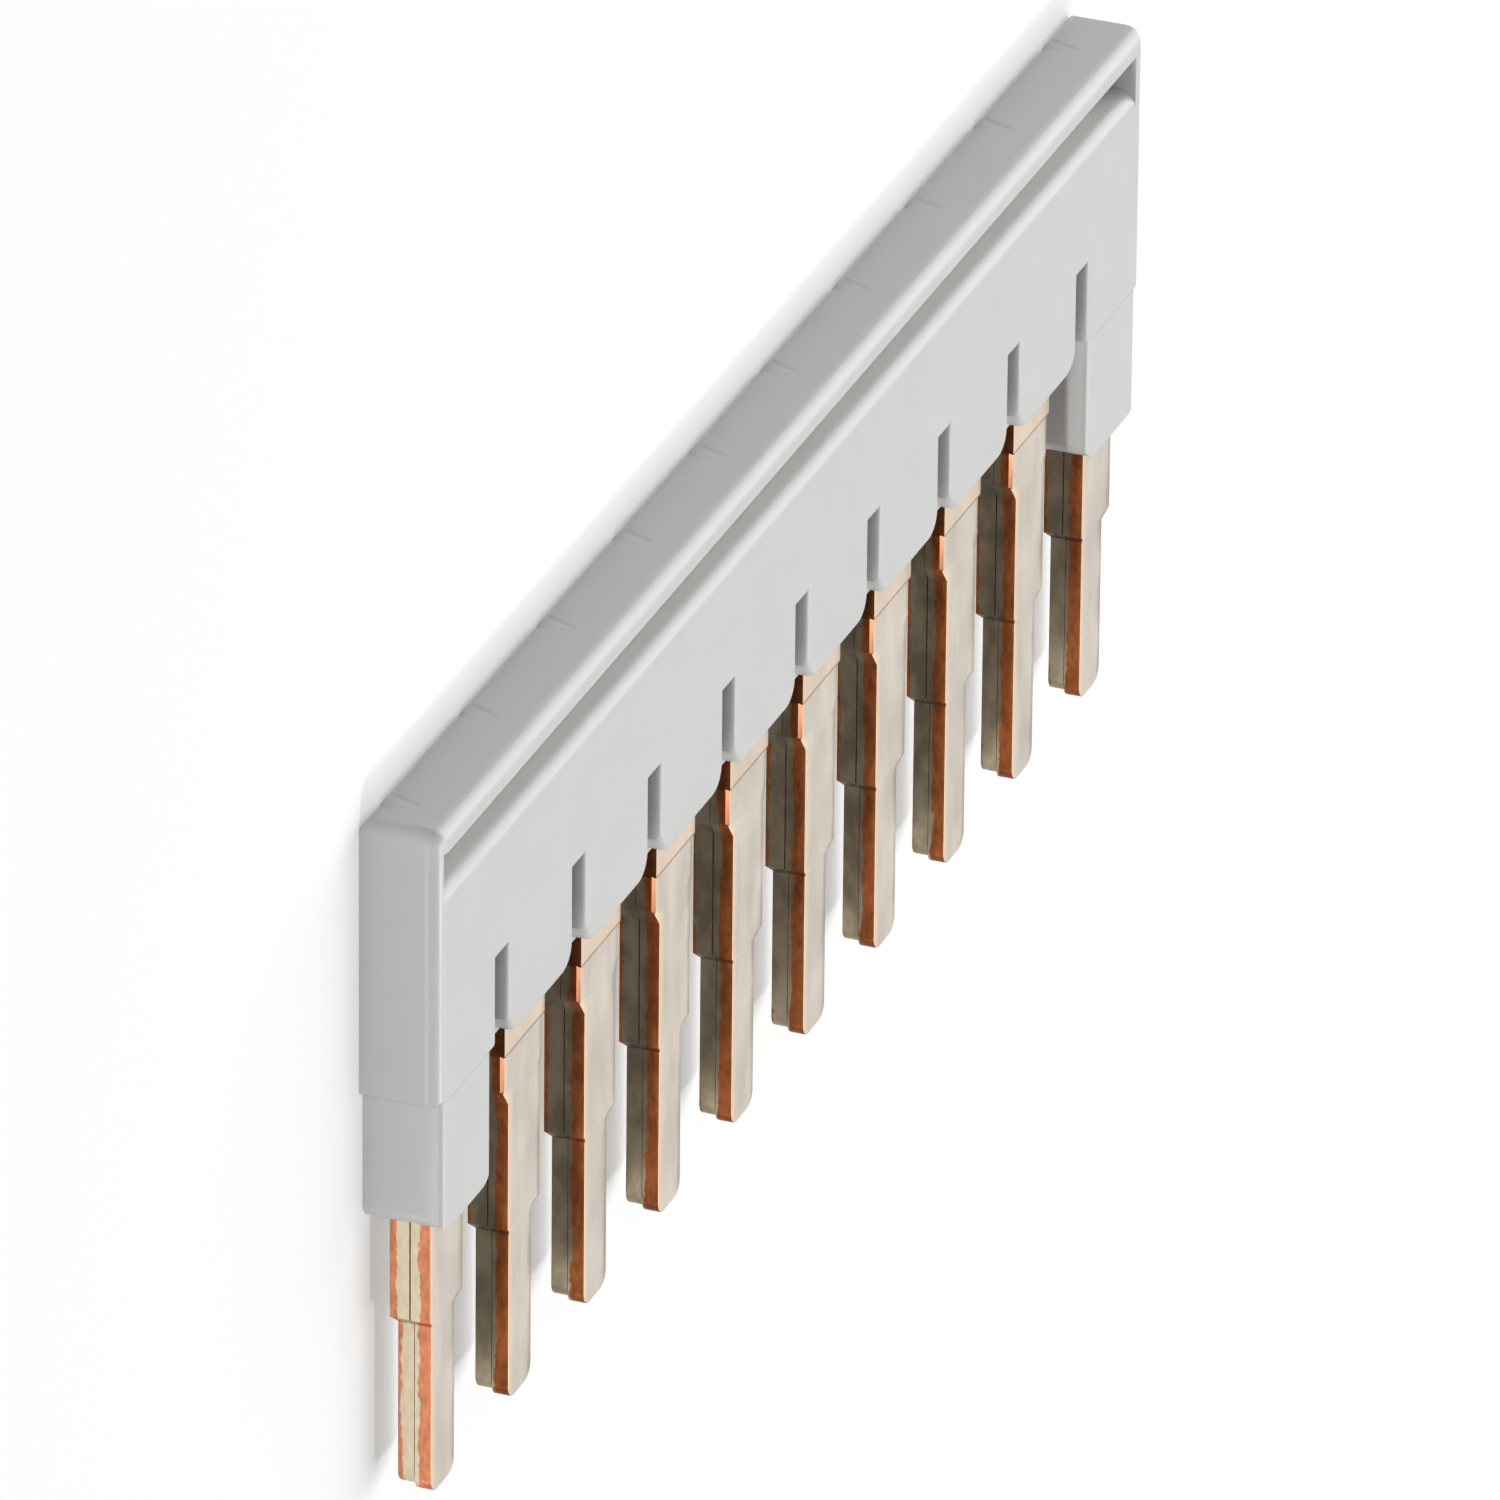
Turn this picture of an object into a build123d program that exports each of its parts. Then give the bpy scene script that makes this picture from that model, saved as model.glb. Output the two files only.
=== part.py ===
"""Ten pole plug-in jumper for rail terminals: a moulded housing over two stamped contact combs.

The part lies on its flat back. X runs along the row of poles, +Y points from the prong tips to the
rim that is pressed when the jumper is plugged in, and +Z is the slotted front. Levels along Y are
given as depths below the rim.
"""

from build123d import *
import os

os.makedirs("parts", exist_ok=True)

# Row of poles
POLE_COUNT = 10
PITCH = 6.2

# Fits
SEAM_GAP = 0.02
POCKET_CLEARANCE = 0.03

# Contact combs: thickness of one leaf from its web to its tips
WEB_THICKNESS = 0.65
SPRING_THICKNESS = 0.6
BLADE_THICKNESS = 0.53
SPRING_LIFT = 0.05

# Contact combs: levels and widths of a prong
WEB_TOP = 2.6
WEB_HEIGHT = 2.8
COLLAR_END = 10.8
NECK_END = 12.0
LIFT_LENGTH = 0.5
SPRING_END = 16.77
SHOULDER_LENGTH = 0.32
TIP_DEPTH = 22.8
NECK_FLARE = 0.32
SPRING_WIDTH = 2.58
BLADE_WIDTH = 1.86
NECK_BEVEL = 0.1
TIP_RADIUS = 0.5
BACK_TIP_SETBACK = 0.15
BACK_TIP_BEVEL = 0.11

# Housing
WALL = 0.61
END_MARGIN = 2.1
BODY_DEPTH = 9.1
TAB_DROP = 0.32
FRONT_RADIUS = 0.58
REAR_RADIUS = 0.4
STEP_RADIUS = 0.15

# What is cut into the front sits a little toward -X of the poles
FRONT_OFFSET = -0.27

# Grip groove under the rim
GROOVE_LIP = 0.79
GROOVE_WIDTH = 1.21
GROOVE_DEPTH = 0.9
GROOVE_END_WALL = 0.6

# V marks across the rear of the rim, sized where they meet the back face
MARK_WIDTH = 1.2
MARK_DEPTH = 0.3
MARK_RUN = 1.4
MARK_OFFSET = -0.52

# Slots between the poles, and the tabs that they leave
SLOT_WIDTH = 0.98
SLOT_DEPTH = 0.55
SLOT_COVER = 0.68
TAB_CORNER_RADIUS = 0.85
TAB_EDGE_RADIUS = 0.22

# End feet
FOOT_DEPTH = 13.4
FOOT_OUTER_INSET = 0.28
FOOT_INNER_INSET = 0.19
FOOT_FRONT_INSET = 0.05
FOOT_PLATE = 0.78
FOOT_TAPER = 0.14
FOOT_EDGE_RADIUS = 0.25
FOOT_OUTER_RADIUS = 0.55
FOOT_INNER_RADIUS = 0.85

# How far a cutting tool or a joining block runs past the face that it meets
OVERRUN = 1.0

# How near an edge must lie to a face or a level to be picked with it
PICK = 0.01

# Sizes that follow
WEB_BOTTOM = WEB_TOP + WEB_HEIGHT
SLOT_TOP = WEB_BOTTOM + SLOT_COVER
TAB_DEPTH = BODY_DEPTH + TAB_DROP
LEAF_THICKNESS = max(WEB_THICKNESS, SPRING_LIFT + SPRING_THICKNESS)
POCKET_HALF = SEAM_GAP / 2 + LEAF_THICKNESS + POCKET_CLEARANCE
THICKNESS = 2 * (POCKET_HALF + WALL)
SEAM_Z = THICKNESS / 2
ROW_LENGTH = (POLE_COUNT - 1) * PITCH
LENGTH = ROW_LENGTH + 2 * END_MARGIN
POLES = [index * PITCH - ROW_LENGTH / 2 for index in range(POLE_COUNT)]
SLOTS = [pole + PITCH / 2 + FRONT_OFFSET for pole in POLES[:-1]]


def level(depth):
    """Y of a depth below the rim; the part is centred on Y = 0."""
    return TIP_DEPTH / 2 - depth


def strip(left, right, top, bottom):
    """Front view of an upright strip between two X values and two depths."""
    centre = Pos((left + right) / 2, (level(top) + level(bottom)) / 2)
    return centre * Rectangle(right - left, bottom - top)


def neck_reach(index, side):
    """Half width of a neck on one side: flared toward its neighbour, straight at the ends of the row."""
    neighbour = index + side
    flare = NECK_FLARE if 0 <= neighbour < POLE_COUNT else 0
    return SPRING_WIDTH / 2 + flare


def prong_outline(index, tip_depth):
    """Front view of one prong: neck, spring part, shoulders and blade with a rounded tip."""
    outline = []
    for side in (-1, 1):
        edge = [
            (side * neck_reach(index, side), WEB_TOP),
            (side * neck_reach(index, side), NECK_END),
            (side * SPRING_WIDTH / 2, NECK_END + LIFT_LENGTH),
            (side * SPRING_WIDTH / 2, SPRING_END),
            (side * BLADE_WIDTH / 2, SPRING_END + SHOULDER_LENGTH),
            (side * BLADE_WIDTH / 2, tip_depth),
        ]
        outline += edge if side < 0 else reversed(edge)
    prong = Polygon(*[(x, level(depth)) for x, depth in outline], align=None)
    tip_corners = prong.vertices().sort_by(Axis.Y)[:2]
    return fillet(tip_corners, TIP_RADIUS)


def comb_outline(tip_depth):
    """Front view of a whole comb."""
    web_end = ROW_LENGTH / 2 + SPRING_WIDTH / 2
    outline = strip(-web_end, web_end, WEB_TOP, WEB_BOTTOM)
    for index, pole in enumerate(POLES):
        outline += Pos(pole, 0) * prong_outline(index, tip_depth)
    return outline


def leaf_section(tip_depth, tip_bevel):
    """Side view of one leaf as offsets from the seam: web, thinner neck, lifted spring part, blade."""
    inner = SEAM_GAP / 2
    lifted = inner + SPRING_LIFT
    spring_start = NECK_END + LIFT_LENGTH
    shoulder_end = SPRING_END + SHOULDER_LENGTH
    seam_side = [
        (WEB_TOP, inner),
        (NECK_END, inner),
        (spring_start, lifted),
        (SPRING_END, lifted),
        (shoulder_end, inner),
        (tip_depth, inner),
    ]
    outer_side = [
        (tip_depth - tip_bevel, inner + BLADE_THICKNESS),
        (shoulder_end, inner + BLADE_THICKNESS),
        (SPRING_END, lifted + SPRING_THICKNESS),
        (spring_start, lifted + SPRING_THICKNESS),
        (NECK_END, inner + SPRING_THICKNESS),
        (COLLAR_END, inner + SPRING_THICKNESS),
        (COLLAR_END, inner + WEB_THICKNESS),
        (WEB_TOP, inner + WEB_THICKNESS),
    ]
    return Polygon(*[(level(depth), offset) for depth, offset in seam_side + outer_side], align=None)


def neck_bevel(corner, side):
    """The prism that bevels the outer edge of a neck between its collar and its shoulder."""
    face = SEAM_GAP / 2 + SPRING_THICKNESS
    section = Polygon(
        (corner + side * NECK_BEVEL, face - 2 * NECK_BEVEL),
        (corner + side * NECK_BEVEL, face + NECK_BEVEL),
        (corner - side * 2 * NECK_BEVEL, face + NECK_BEVEL),
        align=None,
    )
    start = Plane.XZ.offset(-level(COLLAR_END))
    return extrude(start * section, NECK_END - COLLAR_END, dir=(0, -1, 0))


def contact_comb(tip_depth, tip_bevel):
    """A comb whose seam face looks down at Z = 0: its front view cut to its side view."""
    blank = extrude(comb_outline(tip_depth), THICKNESS, dir=(0, 0, 1))
    profile = extrude(Plane.YZ * leaf_section(tip_depth, tip_bevel), LENGTH / 2, both=True)
    comb = blank & profile
    for index, pole in enumerate(POLES):
        for side in (-1, 1):
            comb -= neck_bevel(pole + side * neck_reach(index, side), side)
    return comb


def front_contact_comb():
    """The comb on the front side of the seam."""
    return Pos(0, 0, SEAM_Z) * contact_comb(TIP_DEPTH, 0)


def back_contact_comb():
    """The comb on the back side, with tips set back and bevelled toward the back."""
    comb = contact_comb(TIP_DEPTH - BACK_TIP_SETBACK, BACK_TIP_BEVEL)
    return Pos(0, 0, SEAM_Z) * mirror(comb, Plane.XY)


def housing_body():
    """The long body with its rim and the front corners rounded."""
    body = extrude(strip(-LENGTH / 2, LENGTH / 2, 0, BODY_DEPTH), THICKNESS)
    front_edges = body.faces().sort_by(Axis.Z)[-1].edges().sort_by(Axis.Y)[1:]
    body = fillet(front_edges, FRONT_RADIUS)
    rear_edges = [
        edge
        for edge in body.faces().sort_by(Axis.Y)[-1].edges()
        if edge.center().Z < THICKNESS - FRONT_RADIUS - PICK
    ]
    body = fillet(rear_edges, REAR_RADIUS)
    lower_edges = [
        edge
        for edge in body.faces().sort_by(Axis.Y)[0].edges()
        if edge.center().Z > THICKNESS - FRONT_RADIUS or abs(edge.center().X) > LENGTH / 2 - FRONT_RADIUS
    ]
    return fillet(lower_edges, STEP_RADIUS)


def grip_groove():
    """The channel below the front of the rim. Its lower edge is rounded as the rim is."""
    reach = LENGTH / 2 - GROOVE_END_WALL
    lower_wall = GROOVE_LIP + GROOVE_WIDTH
    front_end = lower_wall + 2 * FRONT_RADIUS
    section = Polygon(
        (level(GROOVE_LIP), THICKNESS + OVERRUN),
        (level(GROOVE_LIP), THICKNESS - GROOVE_DEPTH),
        (level(lower_wall), THICKNESS - GROOVE_DEPTH),
        (level(lower_wall), THICKNESS),
        (level(front_end), THICKNESS),
        (level(front_end), THICKNESS + OVERRUN),
        align=None,
    )
    lower_edge = section.vertices().sort_by_distance((level(lower_wall), THICKNESS))[0]
    section = fillet(lower_edge, FRONT_RADIUS)
    return Pos(FRONT_OFFSET, 0) * extrude(Plane.YZ * section, reach, both=True)


def rim_mark():
    """A V cutter that rises from its full depth at the back face to nothing on the rim."""
    rise = MARK_DEPTH / MARK_RUN
    half_width = MARK_WIDTH / 2
    section = Polygon(
        (0, level(MARK_DEPTH)),
        (half_width, level(0)),
        (half_width, level(-MARK_DEPTH)),
        (-half_width, level(-MARK_DEPTH)),
        (-half_width, level(0)),
        align=None,
    )
    return extrude(section, MARK_RUN + OVERRUN, dir=(0, rise, 1))


def slot_outline(rounds_left, rounds_right):
    """Front view of a slot, which widens at its foot where it rounds the corner of a tab."""
    outline = strip(-SLOT_WIDTH / 2, SLOT_WIDTH / 2, SLOT_TOP, TAB_DEPTH)
    for side, rounds in ((-1, rounds_left), (1, rounds_right)):
        if rounds:
            wall = side * SLOT_WIDTH / 2
            centre = wall + side * TAB_CORNER_RADIUS
            corner = strip(
                min(wall, centre), max(wall, centre), TAB_DEPTH - TAB_CORNER_RADIUS, TAB_DEPTH
            )
            outline += corner - Pos(centre, level(TAB_DEPTH - TAB_CORNER_RADIUS)) * Circle(TAB_CORNER_RADIUS)
    return outline


def cut_slots(housing):
    """Cuts the slots into the front wall and rounds the front edges of the tabs between them."""
    last = len(SLOTS) - 1
    for index, slot in enumerate(SLOTS):
        outline = slot_outline(index > 0, index < last)
        housing -= Pos(slot, 0, THICKNESS - SLOT_DEPTH) * extrude(outline, SLOT_DEPTH + OVERRUN)
    first_wall = SLOTS[0] - SLOT_WIDTH
    last_wall = SLOTS[-1] + SLOT_WIDTH
    tab_edges = [
        edge
        for edge in housing.edges()
        if edge.bounding_box().min.Z > THICKNESS - PICK
        and edge.center().Y < level(SLOT_TOP) - PICK
        and first_wall < edge.center().X < last_wall
    ]
    return fillet(tab_edges, TAB_EDGE_RADIUS)


def foot(outer, inner):
    """An end foot between its outer and inner walls: a tapered plan cut to a rounded front view."""
    side = 1 if outer > inner else -1
    front = THICKNESS - FOOT_FRONT_INSET
    plan = Polygon(
        (outer, 0),
        (outer, front - FOOT_PLATE),
        (outer - side * FOOT_TAPER, front),
        (inner + side * FOOT_TAPER, front),
        (inner, front - FOOT_PLATE),
        (inner, 0),
        align=None,
    )
    plan = fillet(plan.vertices().group_by(Axis.Y)[-1], FOOT_EDGE_RADIUS)
    top = BODY_DEPTH - OVERRUN
    column = extrude(Plane.XZ.offset(-level(top)) * plan, FOOT_DEPTH - top, dir=(0, -1, 0))
    outline = strip(min(outer, inner), max(outer, inner), top, FOOT_DEPTH)
    for wall, radius in ((outer, FOOT_OUTER_RADIUS), (inner, FOOT_INNER_RADIUS)):
        lower_corner = outline.vertices().sort_by_distance((wall, level(FOOT_DEPTH)))[0]
        outline = fillet(lower_corner, radius)
    return column & extrude(outline, THICKNESS, dir=(0, 0, 1))


def comb_pocket():
    """The space that the two combs fill, with clearance all round."""
    web_end = ROW_LENGTH / 2 + SPRING_WIDTH / 2 + POCKET_CLEARANCE
    outline = strip(-web_end, web_end, WEB_TOP - POCKET_CLEARANCE, WEB_BOTTOM + POCKET_CLEARANCE)
    for index, pole in enumerate(POLES):
        left = pole - neck_reach(index, -1) - POCKET_CLEARANCE
        right = pole + neck_reach(index, 1) + POCKET_CLEARANCE
        outline += strip(left, right, WEB_BOTTOM, FOOT_DEPTH + OVERRUN)
    return Pos(0, 0, SEAM_Z) * extrude(outline, POCKET_HALF, both=True)


def housing():
    """The insulating moulding."""
    slot_left = SLOTS[0] - SLOT_WIDTH / 2
    slot_right = SLOTS[-1] + SLOT_WIDTH / 2
    shell = housing_body()
    shell += extrude(strip(slot_left, slot_right, BODY_DEPTH - OVERRUN, TAB_DEPTH), THICKNESS)
    shell = cut_slots(shell)
    shell += foot(-LENGTH / 2 + FOOT_OUTER_INSET, slot_left - FOOT_INNER_INSET)
    shell += foot(LENGTH / 2 - FOOT_OUTER_INSET, slot_right + FOOT_INNER_INSET)
    shell -= grip_groove()
    for pole in POLES:
        shell -= Pos(pole + MARK_OFFSET, 0) * rim_mark()
    return shell - comb_pocket()


export_step(housing(), "parts/housing.step")
export_step(front_contact_comb(), "parts/front_contact_comb.step")
export_step(back_contact_comb(), "parts/back_contact_comb.step")
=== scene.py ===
import math

import bmesh
import bpy
from mathutils import Matrix, Vector


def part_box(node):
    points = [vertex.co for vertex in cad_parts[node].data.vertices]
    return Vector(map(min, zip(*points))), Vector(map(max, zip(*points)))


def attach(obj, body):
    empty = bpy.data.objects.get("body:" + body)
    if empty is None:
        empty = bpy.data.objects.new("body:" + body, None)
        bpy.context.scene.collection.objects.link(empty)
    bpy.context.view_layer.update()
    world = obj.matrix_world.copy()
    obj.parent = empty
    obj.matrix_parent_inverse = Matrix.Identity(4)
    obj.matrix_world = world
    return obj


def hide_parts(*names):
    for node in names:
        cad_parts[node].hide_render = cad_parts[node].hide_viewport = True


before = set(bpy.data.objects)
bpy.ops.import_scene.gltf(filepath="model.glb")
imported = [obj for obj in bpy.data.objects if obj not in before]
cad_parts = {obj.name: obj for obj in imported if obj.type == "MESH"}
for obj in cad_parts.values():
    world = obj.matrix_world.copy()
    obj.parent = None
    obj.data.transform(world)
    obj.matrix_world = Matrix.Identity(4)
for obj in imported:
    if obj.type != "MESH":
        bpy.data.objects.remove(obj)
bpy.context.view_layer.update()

bl_info = {
    "name": "Terminal jumper",
    "version": (1, 0, 0),
    "blender": (4, 5, 0),
    "location": "View3D > Sidebar > Jumper",
    "description": "Dresses a jumper's moulded bar and its contact combs, and sets up a stage for it",
    "category": "Object",
}

MM = 0.001

# The frame: X runs along the row of poles, +Y to the rim, and +Z to the slotted front
HOUSING_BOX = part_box("housing")
SEAM_HEIGHT = (HOUSING_BOX[0].z + HOUSING_BOX[1].z) / 2
RIM = HOUSING_BOX[1].y
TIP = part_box("front_contact_comb")[0].y

# Row of poles
PITCH = 6.2 * MM
ROW_HALF = 4.5 * PITCH

# Prongs: half widths of their parts, the depths below the rim where the parts end, and the
# height of the shoulder under the neck
NECK_HALF, SPRING_HALF, BLADE_HALF = 1.61 * MM, 1.29 * MM, 0.93 * MM
COLLAR_END, NECK_END, SPRING_END = 10.8 * MM, 12.0 * MM, 16.77 * MM
SHOULDER = 0.32 * MM

# Rim: how soon its flat top, darkened with painted shade, ends below it, and how far the painted
# light on the walls of the V marks reaches in depth below the rim, in height and along the row.
# Pairs of lengths are the ends of a fade.
RIM_TOP_SHADE_FADE = (0, 0.03 * MM)
MARK_START_FADE = (0.03 * MM, 0.07 * MM)
MARK_END_FADE = (0.28 * MM, 0.4 * MM)
MARK_HEIGHT_FADE = (1.5 * MM, 2.0 * MM)
MARK_ROW_HALF = ROW_HALF + 1.5 * MM
MARK_LIGHT_STRENGTH = 0.65

# Slots: their place from the middle between two poles, the limits of their walls, and how the
# painted shade on the walls fades from their foot to the front
SLOT_SHIFT = -0.27 * MM
SLOT_HALF = 0.52 * MM
SLOT_FOOT, SLOT_FRONT = 2.055 * MM, 2.59 * MM
SLOT_START, SLOT_END = 3 * MM, 9.4 * MM
SLOT_SHADE_FADE = (2.05 * MM, 2.58 * MM)
SLOT_SHADE_STRENGTH = (0.85, 0.1)

# What the plastic's colour is multiplied by: painted shade on the rim's top, painted light on the
# V marks' walls, painted shade on the slots' walls and a painted shade line at the end feet
RIM_TOP_PAINTED_SHADE, MARK_PAINTED_LIGHT, SLOT_WALL_PAINTED_SHADE, PAINTED_FOOT_SHADE = 0.93, 1.28, 0.35, 0.3

# Painted shade lines under the small steps where the bar's end feet leave its body and where the
# prongs' collars end: depth below the rim, half width, where the line has faded out, and strength
FOOT_LINE = (9.07 * MM, 0.01 * MM, 0.045 * MM, 0.4)
COLLAR_SHADE_LINE = (10.77 * MM, 0.015 * MM, 0.045 * MM, 0.75)
# Where the collars end: above it the tin faces turn toward the warm colour and the cut edges get painted shade
COLLAR_FADE = (COLLAR_END - 0.02 * MM, COLLAR_END + 0.02 * MM)

# Smear of tin on the cut edges: its middle, measured from the seam, and its half width, both on
# the spring part and on the blade, and how they change at the tip and inside the row
SMEAR_MIDDLE = (-0.06 * MM, -0.13 * MM)
SMEAR_REACH = (0.34 * MM, 0.29 * MM)
SMEAR_TIP_LOSS = 0.06 * MM
SMEAR_INSIDE_SHIFT, SMEAR_INSIDE_GAIN = 0.09 * MM, 0.05 * MM
SMEAR_RAGGED, SMEAR_DRIFT, SMEAR_WANDER_MEAN = 0.2 * MM, 0.3 * MM, 0.25 * MM
SMEAR_BLUR = 0.025 * MM
TIP_RUN = 2.5 * MM
# Where the inside of the row begins: there the smear lies lower and wider and the cut edges get painted shade
INSIDE_FADE = (ROW_HALF - 1.0 * MM, ROW_HALF + 0.6 * MM)

# The part of a noise that is spread over the whole of a change
SOFT, SHARP = (0.3, 0.7), (0.35, 0.65)

# Meshes: what counts as one point, and angles in degrees. Faces flatter than the first to each
# other are one face, edges sharper than the second are rounded, and the last two limit the
# smooth shading.
JOIN_DISTANCE = 0.001 * MM
FLAT_ANGLE, RIM_ANGLE = 0.5, 50
BAR_SMOOTH_ANGLE, COMB_SMOOTH_ANGLE = 22, 30

# Combs: how far the bar covers them from the rim, how far their tips reach, and how near the seam
# an edge or a spring part's inner face lies. The ledge below the collar gets a little room.
BAR_ZONE, TIP_ZONE = 9 * MM, 1 * MM
SEAM_ZONE, SLIT_ZONE = 0.15 * MM, 0.12 * MM
LEDGE_ROOM = 0.1 * MM

# How far a face or an edge is turned toward an axis, as a part of its unit vector: the neck's
# bevels, the flat faces, the ledges across a prong, and edges along the row
BEVEL_TILT = (0.6, 0.8)
FLAT_TILT, LEDGE_TILT, ROW_TILT = 0.75, 0.9, 0.99

# Places in a comb's list of materials
TINNED, CUT, BEVELLED = 0, 1, 2

# Inputs of a Mix node: its factor, and its two values as numbers and as colours
MIX_FACTOR, MIX_NUMBERS, MIX_COLOURS = 0, (2, 3), (6, 7)

# Lamps, which all point at the origin: place and sides in metres. A setting holds each one's power.
LAMPS = {
    "key": ((0.46, -0.2, 1.13), (0.9, 0.9)),
    "low": ((-1.1, -0.6, 0.035), (0.9, 0.06)),
    "edge": ((1.02, 0.27, 0.56), (0.8, 0.8)),
    "rear": ((-0.9, 0.72, 0.24), (0.6, 0.3)),
    "corner": ((-0.12, -0.55, 1.06), (0.16, 0.16)),
}

# Camera: its axes and place in metres, fitted to the photograph, and its lens and sensor in mm
CAMERA_RIGHT = (0.35842, 0.00873, 0.93352)
CAMERA_UP = (0.42454, 0.88905, -0.17131)
CAMERA_BACK = (-0.83144, 0.45772, 0.31495)
CAMERA_PLACE = (-0.50595, 0.27808, 0.19246)
CAMERA_LENS, CAMERA_SENSOR = 476.4, 36


def linear(red, green, blue):
    """A screen colour, 0 to 255, as the linear colour that Blender's sockets take."""
    return tuple(
        (value / 255 / 12.92) if value <= 10 else ((value / 255 + 0.055) / 1.055) ** 2.4
        for value in (red, green, blue)
    )


def length_property(name, description, default):
    """A property that holds a length in metres."""
    return bpy.props.FloatProperty(
        name=name, description=description, default=default, min=0, precision=6, subtype="DISTANCE", unit="LENGTH"
    )


def colour_property(name, description, default):
    """A property that holds a linear colour."""
    return bpy.props.FloatVectorProperty(
        name=name, description=description, default=default, size=3, min=0, max=1, subtype="COLOR"
    )


def factor_property(name, description, default, limit=1):
    """A property that holds a plain factor from 0 to a limit."""
    return bpy.props.FloatProperty(
        name=name, description=description, default=default, min=0, max=limit, subtype="FACTOR"
    )


def power_property(name, description, default):
    """A property that holds a lamp's power in watts."""
    return bpy.props.FloatProperty(name=name, description=description, default=default, min=0, unit="POWER")


class JumperBarSettings(bpy.types.PropertyGroup):
    """Sizes and colours of the moulded bar."""

    plastic: colour_property("Plastic", "Colour of the moulded bar", linear(216, 216, 214))
    grain: length_property("Grain", "Size of the fine grain that the mould leaves", 0.11 * MM)
    cloud: length_property("Cloud", "Size of the faint clouds in the plastic", 1.6 * MM)


class JumperContactSettings(bpy.types.PropertyGroup):
    """Sizes and colours of the contact combs."""

    tin: colour_property("Tin", "Colour of the tinned faces", linear(189, 181, 171))
    warm: colour_property("Warm border", "Colour of a tinned face along its left border", linear(209, 188, 163))
    dull: colour_property("Dull border", "Colour of a tinned face along its right border", linear(156, 147, 133))
    copper: colour_property("Copper", "Colour of the bare cut edges", linear(198, 128, 94))
    smear: colour_property("Smear", "Colour of the tin dragged over the cut edges", linear(206, 191, 165))
    bevel: colour_property("Bevel", "Colour of the clean copper on the bevels of the necks", linear(214, 146, 108))
    # Painted shade: how bright the cut edges inside the row are kept, for the shade between the prongs
    painted_inner_shade: factor_property("Painted inner shade", "Brightness that the cut edges keep inside the row", 0.38)
    border: length_property("Border", "Width of the borders of the tinned faces", 0.42 * MM)
    slit: length_property("Slit", "Width of the slit between the two combs' spring parts", 0.045 * MM)
    edge_round: length_property("Edge rounding", "Radius of the rolled edges of the stamping", 0.045 * MM)


class JumperStageSettings(bpy.types.PropertyGroup):
    """The floor and the light around the jumper."""

    floor_size: length_property("Floor size", "Side of the square floor", 6.0)
    floor: colour_property("Floor", "Colour of the floor", (0.7, 0.7, 0.7))
    floor_glow: factor_property("Floor glow", "What the floor adds to itself where it is seen", 0.34)
    sky: factor_property("Sky", "Strength of the even light from all round", 0.12, limit=2)
    sky_shine: factor_property("Sky in metal", "Strength of the sky that shiny surfaces mirror", 0.55, limit=2)
    key: power_property("Key", "Power of the large lamp overhead", 8.0)
    low: power_property("Low lamp", "Power of the low lamp off the near end", 3.4)
    edge: power_property("Edge lamp", "Power of the lamp that glints on the rim", 6.4)
    corner: power_property("Corner lamp", "Power of the lamp that glints on the near corner", 3.4)
    rear: power_property("Rear lamp", "Power of the lamp behind the rim", 1.6)


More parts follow.
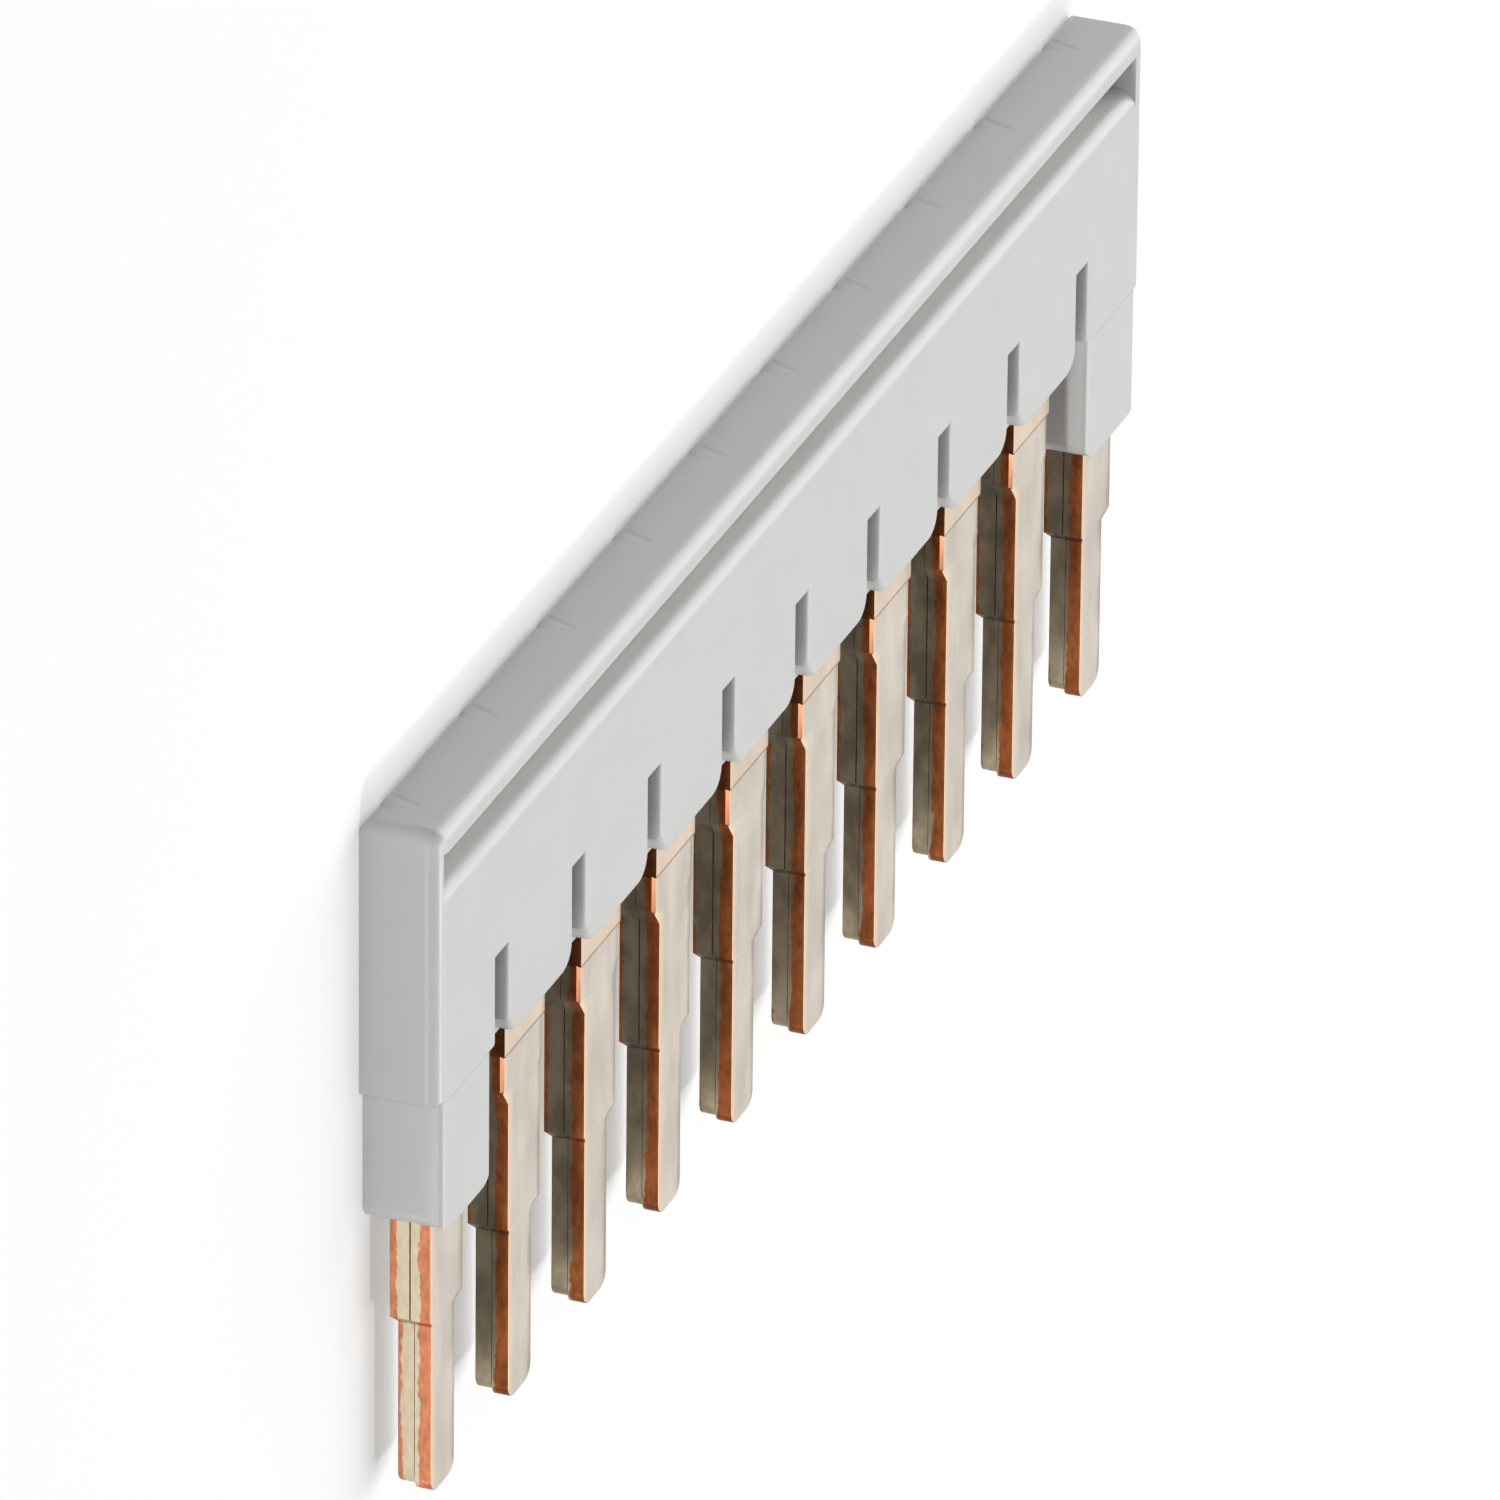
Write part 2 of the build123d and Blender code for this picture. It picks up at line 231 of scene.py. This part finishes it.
class Shader:
    """A material's node tree with short ways to add the nodes that this object needs."""

    def __init__(self, name):
        self.material = bpy.data.materials.new(name)
        self.material.use_nodes = True
        self.tree = self.material.node_tree
        self.surface = self.tree.nodes["Principled BSDF"]
        self.place = self.tree.nodes.new("ShaderNodeTexCoord").outputs["Object"]

    def add(self, kind, values=(), **settings):
        """A new shader node with its settings made and its inputs filled or linked."""
        node = self.tree.nodes.new("ShaderNode" + kind)
        for key, value in settings.items():
            setattr(node, key, value)
        for socket, value in values:
            self.put(node.inputs[socket], value)
        return node

    def put(self, socket, value):
        """Links an output to an input, or sets the input to a plain value."""
        if isinstance(value, bpy.types.NodeSocket):
            self.tree.links.new(value, socket)
        else:
            socket.default_value = value

    def noise(self, size, detail=3.0, stretch=(1, 1, 1)):
        """Noise whose features are about one size across; stretch lengthens them along an axis."""
        scale = [1 / (size * factor) for factor in stretch]
        moved = self.add("Mapping", [("Vector", self.place), ("Scale", scale)])
        return self.add("TexNoise", [("Vector", moved.outputs[0]), ("Scale", 1), ("Detail", detail)]).outputs[0]

    def math(self, operation, *values):
        """One Math node on one, two or three values."""
        return self.add("Math", list(enumerate(values)), operation=operation).outputs[0]

    def plus(self, first, second):
        return self.math("ADD", first, second)

    def minus(self, first, second):
        return self.math("SUBTRACT", first, second)

    def times(self, first, *others):
        """The product of two or more values."""
        for other in others:
            first = self.math("MULTIPLY", first, other)
        return first

    def size(self, value):
        """A value without its sign."""
        return self.math("ABSOLUTE", value)

    def from_nearest(self, along):
        """How far a place along the row is from the nearest whole number of pitches, with its sign."""
        return self.math("WRAP", along, PITCH / 2, -PITCH / 2)

    def spread(self, value, low, high, to_low=0.0, to_high=1.0, smooth=False):
        """Maps one range of a value onto another and holds its ends."""
        kind = "SMOOTHSTEP" if smooth else "LINEAR"
        values = [("Value", value), ("From Min", low), ("From Max", high), ("To Min", to_low), ("To Max", to_high)]
        return self.add("MapRange", values, interpolation_type=kind).outputs[0]

    def line(self, value, place, half_width, outer, strength):
        """A fine line where a value passes a place, faded out at an outer distance from it."""
        return self.spread(self.size(self.minus(value, place)), half_width, outer, strength, 0)

    def mix(self, factor, first, second):
        """A blend of two colours."""
        node = self.add("Mix", [(MIX_FACTOR, factor), *zip(MIX_COLOURS, (first, second))], data_type="RGBA")
        return node.outputs[2]

    def shades(self, colour, noise, part, dark, light):
        """A colour that a noise makes darker and lighter; the part of the noise sets how hard it turns."""
        return self.mix(self.spread(noise, *part), tinted(colour, dark), tinted(colour, light))

    def bump(self, height, depth):
        """Relief from a noise, to a depth in metres."""
        node = self.add("Bump", [("Height", height), ("Distance", depth), ("Strength", 1.0)])
        self.tree.links.new(node.outputs[0], self.surface.inputs["Normal"])

    def coat(self, colour, noise, smooth, rough, metallic=True):
        """Sets the surface's colour and its roughness, which follows a noise, and returns the material."""
        self.put(self.surface.inputs["Base Color"], colour)
        self.put(self.surface.inputs["Roughness"], self.spread(noise, *SOFT, smooth, rough))
        if metallic:
            self.surface.inputs["Metallic"].default_value = 1.0
        return self.material


def tinted(colour, factor):
    """A colour made lighter or darker, with an alpha of 1."""
    return [min(1.0, channel * factor) for channel in colour] + [1.0]


def below_rim(shader):
    """How far a point lies below the rim of the bar, and its place along the row and in height."""
    place = shader.add("SeparateXYZ", [("Vector", shader.place)]).outputs
    return shader.minus(RIM, place["Y"]), place["X"], place["Z"]


def mark_wall_light(shader, below, along, height):
    """Painted light on the walls of the V marks, on the rear side of the rim."""
    return shader.times(
        shader.spread(below, *MARK_START_FADE),
        shader.spread(below, *MARK_END_FADE, 1, 0),
        shader.spread(height, *MARK_HEIGHT_FADE, MARK_LIGHT_STRENGTH, 0),
        shader.math("LESS_THAN", shader.size(along), MARK_ROW_HALF),
    )


def slot_wall_shade(shader, below, along, height):
    """Painted shade on the walls of the slots, strongest at their foot. Their floors and the front aren't in it."""
    across = shader.size(shader.from_nearest(shader.minus(along, SLOT_SHIFT)))
    return shader.times(
        shader.spread(height, *SLOT_SHADE_FADE, *SLOT_SHADE_STRENGTH),
        shader.math("LESS_THAN", height, SLOT_FRONT),
        shader.math("GREATER_THAN", height, SLOT_FOOT),
        shader.math("LESS_THAN", across, SLOT_HALF),
        shader.math("GREATER_THAN", below, SLOT_START),
        shader.math("LESS_THAN", below, SLOT_END),
    )


def foot_step_shade(shader, below, along):
    """A fine painted shade line under the small step where each end foot leaves the body."""
    line = shader.line(below, *FOOT_LINE)
    return shader.times(line, shader.math("GREATER_THAN", shader.size(along), ROW_HALF - PITCH / 2))


def plastic_material(settings):
    """Light grey moulded plastic: faint clouds, a fine grain and a soft sheen.

    Painted shade darkens the top of the rim and the walls of the slots, painted light lightens the
    walls of the V marks, and a fine painted shade line runs where each end foot leaves the body.
    """
    shader = Shader("moulded_plastic")
    clouds = shader.noise(settings.cloud, detail=4)
    grain = shader.noise(settings.grain, detail=2)
    below, along, height = below_rim(shader)
    colour = shader.shades(settings.plastic, clouds, SOFT, dark=0.985, light=1.015)
    for mask, tint in (
        # painted shade on the rim's flat top
        (shader.spread(below, *RIM_TOP_SHADE_FADE, 1, 0), RIM_TOP_PAINTED_SHADE),
        # painted light on the walls of the V marks
        (mark_wall_light(shader, below, along, height), MARK_PAINTED_LIGHT),
        # painted shade on the walls of the slots, deepest at their foot
        (slot_wall_shade(shader, below, along, height), SLOT_WALL_PAINTED_SHADE),
        # painted shade line where each end foot leaves the body
        (foot_step_shade(shader, below, along), PAINTED_FOOT_SHADE),
    ):
        colour = shader.mix(mask, colour, tinted(settings.plastic, tint))
    shader.surface.inputs["IOR"].default_value = 1.5
    shader.bump(grain, 0.0016 * MM)
    return shader.coat(colour, clouds, smooth=0.31, rough=0.38, metallic=False)


def collar_step(shader, below, above, under):
    """A value that changes where the prongs' collars end."""
    return shader.spread(below, *COLLAR_FADE, above, under)


def inward_of_side(shader, below, across):
    """How far a point of a prong's face lies in from the prong's side."""
    to_spring = shader.spread(below, NECK_END, NECK_END + SHOULDER, NECK_HALF, SPRING_HALF)
    to_blade = shader.spread(below, SPRING_END - 0.01 * MM, SPRING_END, 0, BLADE_HALF - SPRING_HALF)
    return shader.minus(shader.plus(to_spring, to_blade), shader.size(across))


def tin_material(settings):
    """Tinned sheet: pale, faintly streaked along the prongs, with a warm and a dull border."""
    shader = Shader("tinned_face")
    below, along, _ = below_rim(shader)
    streaks = shader.noise(0.16 * MM, detail=3, stretch=(1, 14, 1))
    blotches = shader.noise(1.1 * MM, detail=3, stretch=(1, 2, 1))
    shade = shader.plus(shader.times(streaks, 0.35), shader.times(blotches, 0.65))
    colour = shader.shades(settings.tin, shade, SHARP, dark=0.93, light=1.05)
    across = shader.from_nearest(shader.plus(along, PITCH / 2))
    uneven = shader.times(shader.minus(blotches, 0.5), 0.5 * MM)
    inward = shader.plus(inward_of_side(shader, below, across), uneven)
    near = shader.spread(inward, 0, settings.border, 1, 0, smooth=True)
    right = shader.math("GREATER_THAN", across, 0.0)
    colour = shader.mix(near, colour, shader.mix(right, tinted(settings.warm, 1), tinted(settings.dull, 1)))
    collar = collar_step(shader, below, 1, 0)
    colour = shader.mix(shader.times(collar, 0.45), colour, tinted(settings.warm, 1))
    # a painted shade line under the small step where the collar ends
    colour = shader.mix(shader.line(below, *COLLAR_SHADE_LINE), colour, tinted(settings.copper, 0.4))
    shader.bump(streaks, 0.0012 * MM)
    return shader.coat(colour, blotches, smooth=0.5, rough=0.6)


def bare_copper(shader, height, blade, tip, inside):
    """Where a cut edge has no tin: away from the middle, with a ragged limit that drifts."""
    ragged = shader.noise(0.1 * MM, detail=5, stretch=(1, 2.5, 1))
    drift = shader.noise(1.3 * MM, detail=3)
    middle = shader.spread(blade, 0, 1, *(SEAM_HEIGHT + shift for shift in SMEAR_MIDDLE))
    middle = shader.minus(middle, shader.times(inside, SMEAR_INSIDE_SHIFT))
    reach = shader.minus(shader.spread(blade, 0, 1, *SMEAR_REACH), shader.times(tip, SMEAR_TIP_LOSS))
    reach = shader.plus(reach, shader.times(inside, SMEAR_INSIDE_GAIN))
    wander = shader.plus(shader.times(ragged, SMEAR_RAGGED), shader.times(drift, SMEAR_DRIFT))
    from_middle = shader.size(shader.minus(height, middle))
    edge = shader.plus(from_middle, shader.minus(wander, SMEAR_WANDER_MEAN))
    return shader.spread(shader.minus(edge, reach), -SMEAR_BLUR, SMEAR_BLUR, smooth=True)


def cut_material(settings):
    """The sheared edge of the sheet: bare copper outside, tin dragged over it in the middle.

    Painted shade makes the edges inside the row darker and more saturated than those at its ends,
    and stains blotch them; their tin smear there is lighter near the tips, a painted light. Painted
    shade also darkens the collars.
    """
    shader = Shader("cut_edge")
    below, along, height = below_rim(shader)
    blade = shader.spread(below, SPRING_END, SPRING_END + 0.05 * MM)
    tip = shader.spread(below, RIM - TIP - TIP_RUN, RIM - TIP, smooth=True)
    inside = shader.spread(shader.size(along), *INSIDE_FADE, 1, 0)
    bare = bare_copper(shader, height, blade, tip, inside)
    marks = shader.noise(0.14 * MM, detail=3, stretch=(1, 3, 1))
    copper = shader.shades(settings.copper, marks, SHARP, dark=0.78, light=1.1)
    smear = shader.shades(settings.smear, marks, SOFT, dark=0.86, light=1.04)
    stains = shader.spread(shader.noise(0.7 * MM, detail=4, stretch=(1, 2, 1)), 0.4, 0.62, 1.12, 0.72)
    # Painted shade and light on the inner edges' tin smear: darker away from the tips, lighter near them
    smear_shade_and_tip_light = shader.spread(tip, 0, 1, 0.68, 1.5)
    # Painted shade of the edges inside the row, times real stains
    inner_shade_and_stains = shader.times(stains, shader.spread(bare, 0, 1, smear_shade_and_tip_light, 1.05), settings.painted_inner_shade)
    # Inside the row the painted shade applies, and on the collars a painted shade halves the brightness
    value = shader.times(shader.spread(inside, 0, 1, 1, inner_shade_and_stains), collar_step(shader, below, 0.5, 1))
    # Painted shade: the edges inside the row are also more saturated
    saturation = shader.spread(inside, 0, 1, 1, 1.12)
    colour = shader.mix(bare, smear, copper)
    shaded_and_stained_edge = shader.add("HueSaturation", [("Value", value), ("Color", colour), ("Saturation", saturation)])
    shader.bump(marks, 0.004 * MM)
    return shader.coat(shaded_and_stained_edge.outputs[0], marks, smooth=0.38, rough=0.5)


def bevel_material(settings):
    """The clean copper of the coined bevels on the necks."""
    shader = Shader("coined_bevel")
    marks = shader.noise(0.3 * MM, detail=3, stretch=(1, 4, 1))
    colour = shader.shades(settings.bevel, marks, SOFT, dark=0.9, light=1.04)
    return shader.coat(colour, marks, smooth=0.34, rough=0.44)


def merged_copy(node, name):
    """A new object with a copy of a CAD node's mesh, its loose triangles joined into whole faces."""
    bpy.ops.object.select_all(action="DESELECT")
    piece = bpy.data.objects.new(name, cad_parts[node].data.copy())
    piece.data.name = name
    bpy.context.scene.collection.objects.link(piece)
    bpy.context.view_layer.objects.active = piece
    piece.select_set(True)
    bpy.ops.object.mode_set(mode="EDIT")
    bpy.ops.mesh.select_all(action="SELECT")
    bpy.ops.mesh.customdata_custom_splitnormals_clear()
    bpy.ops.mesh.remove_doubles(threshold=JOIN_DISTANCE)
    bpy.ops.mesh.dissolve_limited(angle_limit=math.radians(FLAT_ANGLE))
    bpy.ops.mesh.select_all(action="DESELECT")
    bpy.ops.object.mode_set(mode="OBJECT")
    return piece


def round_edges(piece, chosen, radius, segments=2):
    """Rounds the sharp edges that a test picks out."""
    bpy.ops.object.mode_set(mode="EDIT")
    bpy.ops.mesh.select_mode(type="EDGE")
    mesh = bmesh.from_edit_mesh(piece.data)
    for edge in mesh.edges:
        edge.select = edge.is_manifold and chosen(edge)
    bmesh.update_edit_mesh(piece.data)
    bpy.ops.mesh.bevel(offset=radius, segments=segments, profile=0.5, affect="EDGES", clamp_overlap=False)
    bpy.ops.mesh.select_all(action="DESELECT")
    bpy.ops.object.mode_set(mode="OBJECT")


def finish_piece(piece, node, materials, smooth_angle):
    """Gives a piece its materials and smooth shading and puts it in the place of its CAD node."""
    piece.data.materials.clear()
    for material in materials:
        piece.data.materials.append(material)
    bpy.ops.object.shade_smooth_by_angle(angle=math.radians(smooth_angle))
    weighted = piece.modifiers.new("even_faces", "WEIGHTED_NORMAL")
    weighted.keep_sharp = True
    weighted.weight = 100
    bpy.ops.object.modifier_apply(modifier=weighted.name)
    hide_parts(node)
    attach(piece, "root")


def is_comb_rim(edge):
    """The stamped outline of a comb outside the bar, without its seam side and its collar's ledge."""
    middle = (edge.verts[0].co + edge.verts[1].co) / 2
    along_row = abs((edge.verts[1].co - edge.verts[0].co).normalized().x) > ROW_TILT
    if middle.y > RIM - BAR_ZONE or (along_row and middle.y > TIP + TIP_ZONE):
        return False
    if abs(middle.z - SEAM_HEIGHT) < SEAM_ZONE:
        return False
    return edge.calc_face_angle() > math.radians(RIM_ANGLE)


def close_slit(piece, gap):
    """Brings the inner faces of the spring parts to a hairline from the seam."""
    for vertex in piece.data.vertices:
        offset = vertex.co.z - SEAM_HEIGHT
        if gap / 2 < abs(offset) < SLIT_ZONE and vertex.co.y < RIM - COLLAR_END + LEDGE_ROOM:
            vertex.co.z = SEAM_HEIGHT + math.copysign(gap / 2, offset)


def comb_material_index(face):
    """Which of a comb's materials a face takes, by the way that it faces and where it is."""
    tilt = abs(face.normal.z)
    if BEVEL_TILT[0] < tilt < BEVEL_TILT[1] and face.center.y > RIM - NECK_END - SHOULDER:
        return BEVELLED
    ledge = abs(face.normal.y) > LEDGE_TILT and face.center.y > TIP + TIP_ZONE
    return TINNED if tilt > FLAT_TILT or ledge else CUT


class JUMPER_OT_bar(bpy.types.Operator):
    """Dress the moulded bar in its plastic"""

    bl_idname = "jumper.bar"
    bl_label = "Moulded bar"
    bl_options = {"REGISTER", "UNDO"}

    def execute(self, context):
        piece = merged_copy("housing", "moulded_bar")
        materials = [plastic_material(context.scene.jumper_bar)]
        finish_piece(piece, "housing", materials, BAR_SMOOTH_ANGLE)
        return {"FINISHED"}


class JUMPER_OT_combs(bpy.types.Operator):
    """Roll the stamped edges of both combs and give them tinned faces and copper cut edges"""

    bl_idname = "jumper.combs"
    bl_label = "Contact combs"
    bl_options = {"REGISTER", "UNDO"}

    def execute(self, context):
        settings = context.scene.jumper_contacts
        materials = [tin_material(settings), cut_material(settings), bevel_material(settings)]
        for node in ("front_contact_comb", "back_contact_comb"):
            piece = merged_copy(node, node.replace("contact_comb", "comb"))
            close_slit(piece, settings.slit)
            round_edges(piece, is_comb_rim, settings.edge_round)
            finish_piece(piece, node, materials, COMB_SMOOTH_ANGLE)
            for face in piece.data.polygons:
                face.material_index = comb_material_index(face)
        return {"FINISHED"}


class JUMPER_OT_stage(bpy.types.Operator):
    """Set up the floor, the soft light and the camera"""

    bl_idname = "jumper.stage"
    bl_label = "Stage"
    bl_options = {"REGISTER", "UNDO"}

    def execute(self, context):
        settings = context.scene.jumper_stage
        self.floor(settings)
        self.sky(context.scene, settings)
        for name, (place, sides) in LAMPS.items():
            self.lamp(f"{name}_lamp", Vector(place), sides, getattr(settings, name))
        self.camera(context.scene)
        context.scene.view_settings.view_transform = "Standard"
        return {"FINISHED"}

    def floor(self, settings):
        """A pale floor that glows a little where it is seen, so that it looks white and keeps the shadow."""
        bpy.ops.object.select_all(action="DESELECT")
        bpy.ops.mesh.primitive_plane_add(size=settings.floor_size, location=(0, 0, 0))
        floor = bpy.context.active_object
        floor.name = "floor"
        shader = Shader("pale_floor")
        shader.put(shader.surface.inputs["Base Color"], tinted(settings.floor, 1))
        shader.surface.inputs["Roughness"].default_value = 0.9
        shader.surface.inputs["Specular IOR Level"].default_value = 0.1
        path = shader.add("LightPath").outputs
        seen = shader.math("MAXIMUM", path["Is Camera Ray"], path["Is Glossy Ray"])
        seen = shader.math("MAXIMUM", seen, path["Is Transmission Ray"])
        shader.surface.inputs["Emission Color"].default_value = (1, 1, 1, 1)
        shader.put(shader.surface.inputs["Emission Strength"], shader.math("MULTIPLY", seen, settings.floor_glow))
        floor.data.materials.append(shader.material)

    def sky(self, scene, settings):
        """An even white sky: weak as a light, stronger where metal mirrors it and full where it is seen."""
        world = bpy.data.worlds.new("studio_sky")
        world.use_nodes = True
        tree = world.node_tree
        background = tree.nodes["Background"]
        background.inputs["Color"].default_value = (1, 1, 1, 1)
        path = tree.nodes.new("ShaderNodeLightPath")
        strength = settings.sky
        for ray, seen in (("Is Glossy Ray", settings.sky_shine), ("Is Transmission Ray", 1.0), ("Is Camera Ray", 1.0)):
            mix = tree.nodes.new("ShaderNodeMix")
            first, second = (mix.inputs[index] for index in MIX_NUMBERS)
            tree.links.new(path.outputs[ray], mix.inputs[MIX_FACTOR])
            if isinstance(strength, bpy.types.NodeSocket):
                tree.links.new(strength, first)
            else:
                first.default_value = strength
            second.default_value = seen
            strength = mix.outputs[0]
        tree.links.new(strength, background.inputs["Strength"])
        scene.world = world

    def lamp(self, name, place, sides, power):
        """A rectangular lamp that points at the origin."""
        bpy.ops.object.select_all(action="DESELECT")
        bpy.ops.object.light_add(type="AREA", location=place)
        lamp = bpy.context.active_object
        lamp.name = name
        lamp.data.shape = "RECTANGLE"
        lamp.data.size, lamp.data.size_y = sides
        lamp.data.energy = power
        lamp.rotation_euler = place.to_track_quat("Z", "Y").to_euler()

    def camera(self, scene):
        """A long lens at the photograph's viewing angle, rolled so that the row climbs to the right."""
        bpy.ops.object.select_all(action="DESELECT")
        bpy.ops.object.camera_add()
        camera = bpy.context.active_object
        camera.name = "camera"
        turn = Matrix((CAMERA_RIGHT, CAMERA_UP, CAMERA_BACK)).transposed().to_4x4()
        camera.matrix_world = Matrix.Translation(CAMERA_PLACE) @ turn
        camera.data.sensor_width = CAMERA_SENSOR
        camera.data.lens = CAMERA_LENS
        camera.data.clip_start = 0.01
        camera.data.clip_end = 50
        scene.camera = camera


class JUMPER_PT_panel(bpy.types.Panel):
    """Lists the jumper's pieces and their settings"""

    bl_label = "Terminal jumper"
    bl_idname = "JUMPER_PT_panel"
    bl_space_type = "VIEW_3D"
    bl_region_type = "UI"
    bl_category = "Jumper"

    def draw(self, context):
        for operator, group in PANEL_ROWS:
            box = self.layout.box()
            box.operator(operator)
            settings = getattr(context.scene, group)
            for name in settings.bl_rna.properties.keys():
                if name not in ("rna_type", "name"):
                    box.prop(settings, name)


SETTINGS = {
    "jumper_bar": JumperBarSettings,
    "jumper_contacts": JumperContactSettings,
    "jumper_stage": JumperStageSettings,
}
OPERATORS = (JUMPER_OT_bar, JUMPER_OT_combs, JUMPER_OT_stage)
PANEL_ROWS = [(operator.bl_idname, group) for operator, group in zip(OPERATORS, SETTINGS)]


def register():
    for kind in (*SETTINGS.values(), *OPERATORS, JUMPER_PT_panel):
        bpy.utils.register_class(kind)
    for name, kind in SETTINGS.items():
        setattr(bpy.types.Scene, name, bpy.props.PointerProperty(type=kind))


def unregister():
    for name in SETTINGS:
        delattr(bpy.types.Scene, name)
    for kind in (JUMPER_PT_panel, *OPERATORS, *SETTINGS.values()):
        bpy.utils.unregister_class(kind)


def main():
    """Makes the whole scene."""
    register()
    bpy.ops.jumper.bar()
    bpy.ops.jumper.combs()
    bpy.ops.jumper.stage()


if __name__ == "__main__":
    main()
